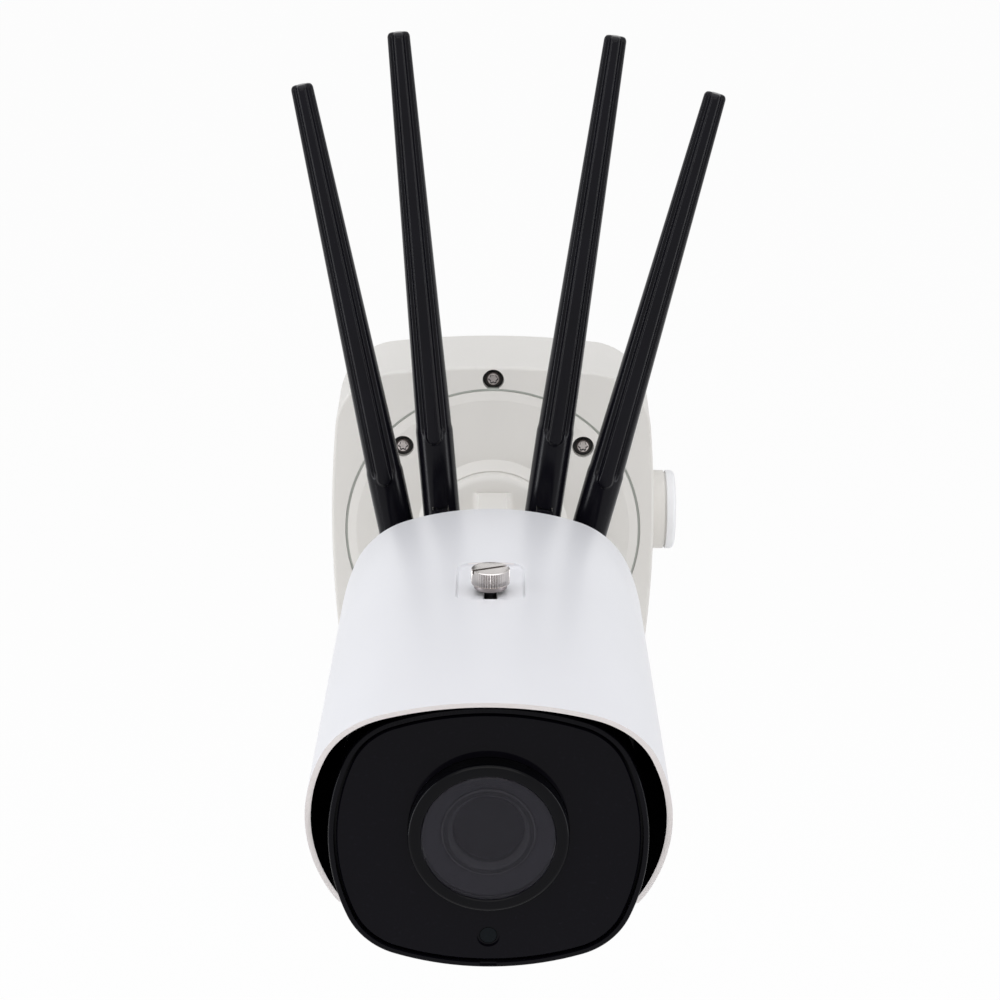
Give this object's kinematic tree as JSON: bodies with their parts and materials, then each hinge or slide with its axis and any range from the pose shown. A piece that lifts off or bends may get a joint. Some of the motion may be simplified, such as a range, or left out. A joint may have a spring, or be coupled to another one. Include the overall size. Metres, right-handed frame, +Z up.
{
  "type": "security camera",
  "caption": "Wall security camera: bullet body under a sliding sun shield, three-axis bracket on a junction box, and fluted antennas that swivel and fold.",
  "frame": {"origin": "centre of the cable entry in the junction box's back face, on the wall", "axes": "+Z up along the wall, +Y into the wall, the camera looks along -Y, +X to the viewer's right from the front"},
  "size_m": [0.1524, 0.3422, 0.2812],
  "materials": {
    "box_paint": "satin",
    "bracket_paint": "satin",
    "body_paint": "satin",
    "shield_white": "satin",
    "front_gloss": "gloss",
    "black_plastic": "satin",
    "rubber": "matte",
    "steel": "brushed",
    "nickel": "bright",
    "connector_brass": "satin",
    "clear_glass": "polished",
    "lens_black": "anodised",
    "chassis_metal": "mill",
    "board_green": "satin",
    "chip_black": "satin",
    "nylon": "matte",
    "filter_tint": "polished"
  },
  "bodies": {
    "mount": {"box_body": "box_paint", "box_cover": "box_paint", "cover_gasket": "rubber", "cover_screws": "steel", "conduit_plug": "box_paint", "plug_ring": "rubber", "base_flange": "bracket_paint", "flange_gasket": "rubber", "flange_screws": "steel"},
    "turntable": {"pan_turntable": "bracket_paint", "pan_retainer": "steel"},
    "arm": {"tilt_arm": "bracket_paint", "tilt_washers": "nylon", "tilt_bolt": "steel", "tilt_nut": "steel"},
    "camera": {"housing": "body_paint", "rear_cover": "body_paint", "rear_gasket": "rubber", "rear_screws": "steel", "roll_collar": "body_paint", "roll_lock_screw": "steel", "service_cover": "body_paint", "front_bezel": "black_plastic", "bezel_gasket": "rubber", "front_panel": "front_gloss", "lens_ring": "black_plastic", "window_glass": "clear_glass", "lens_barrel": "lens_black", "front_element": "clear_glass", "filter_frame": "black_plastic", "sensor_board": "board_green", "image_sensor": "chip_black", "lamp_board": "board_green", "infrared_lamps": "chip_black", "light_sensor": "clear_glass", "chassis": "chassis_metal", "main_board": "board_green", "modem_module": "nickel", "antenna_jacks": "connector_brass", "jack_nuts": "connector_brass", "coupling_nuts": "connector_brass", "shield_pads": "rubber"},
    "shield": {"sun_shield": "shield_white"},
    "thumb_screw": {"thumb_screw": "nickel"},
    "zoom_group": {"zoom_group": "lens_black"},
    "infrared_filter": {"infrared_filter": "filter_tint"},
    "antenna_1": {"antenna_1_base": "black_plastic", "antenna_1_pin": "steel"},
    "antenna_1_whip": {"antenna_1_whip": "black_plastic"},
    "antenna_2": {"antenna_2_base": "black_plastic", "antenna_2_pin": "steel"},
    "antenna_2_whip": {"antenna_2_whip": "black_plastic"},
    "antenna_3": {"antenna_3_base": "black_plastic", "antenna_3_pin": "steel"},
    "antenna_3_whip": {"antenna_3_whip": "black_plastic"},
    "antenna_4": {"antenna_4_base": "black_plastic", "antenna_4_pin": "steel"},
    "antenna_4_whip": {"antenna_4_whip": "black_plastic"}
  },
  "joints": [
    {"name": "pan", "type": "hinge", "parent": "mount", "child": "turntable", "pos_m": [0, -0.05, 0], "axis": [0, 1, 0], "range_deg": [-175, 175]},
    {"name": "tilt", "type": "hinge", "parent": "turntable", "child": "arm", "pos_m": [0, -0.1106, 0], "axis": [1, 0, 0], "range_deg": [0, 90]},
    {"name": "roll", "type": "hinge", "parent": "arm", "child": "camera", "pos_m": [0, -0.15, 0], "axis": [0, -1, 0], "range_deg": [-90, 90]},
    {"name": "shield_slide", "type": "slide", "parent": "camera", "child": "shield", "axis": [0, -1, 0], "range_m": [-0.0055, 0.0165]},
    {"name": "thumb_screw_turn", "type": "hinge", "parent": "camera", "child": "thumb_screw", "pos_m": [0, -0.2472, 0.05], "axis": [0, 0, 1], "continuous": true},
    {"name": "zoom_slide", "type": "slide", "parent": "camera", "child": "zoom_group", "axis": [0, -1, 0], "range_m": [0, 0.005]},
    {"name": "filter_slide", "type": "slide", "parent": "camera", "child": "infrared_filter", "axis": [1, 0, 0], "range_m": [0, 0.009]},
    {"name": "antenna_1_swivel", "type": "hinge", "parent": "camera", "child": "antenna_1", "pos_m": [-0.03311, -0.1286, 0.01651], "axis": [0, 1, 0], "range_deg": [-60, 2]},
    {"name": "antenna_1_fold", "type": "hinge", "parent": "antenna_1", "child": "antenna_1_whip", "pos_m": [-0.03311, -0.1286, 0.01651], "axis": [-0.9816, 0, -0.1908], "range_deg": [0, 45]},
    {"name": "antenna_2_swivel", "type": "hinge", "parent": "camera", "child": "antenna_2", "pos_m": [-0.0185, -0.1286, 0.03204], "axis": [0, 1, 0], "range_deg": [-3, 8]},
    {"name": "antenna_2_fold", "type": "hinge", "parent": "antenna_2", "child": "antenna_2_whip", "pos_m": [-0.0185, -0.1286, 0.03204], "axis": [-0.9966, 0, -0.0819], "range_deg": [0, 45]},
    {"name": "antenna_3_swivel", "type": "hinge", "parent": "camera", "child": "antenna_3", "pos_m": [0.0185, -0.1286, 0.03204], "axis": [0, 1, 0], "range_deg": [-8, 3]},
    {"name": "antenna_3_fold", "type": "hinge", "parent": "antenna_3", "child": "antenna_3_whip", "pos_m": [0.0185, -0.1286, 0.03204], "axis": [-0.991, 0, 0.134], "range_deg": [0, 45]},
    {"name": "antenna_4_swivel", "type": "hinge", "parent": "camera", "child": "antenna_4", "pos_m": [0.03311, -0.1286, 0.01651], "axis": [0, 1, 0], "range_deg": [-2, 60]},
    {"name": "antenna_4_fold", "type": "hinge", "parent": "antenna_4", "child": "antenna_4_whip", "pos_m": [0.03311, -0.1286, 0.01651], "axis": [-0.9681, 0, 0.2504], "range_deg": [0, 45]}
  ]
}
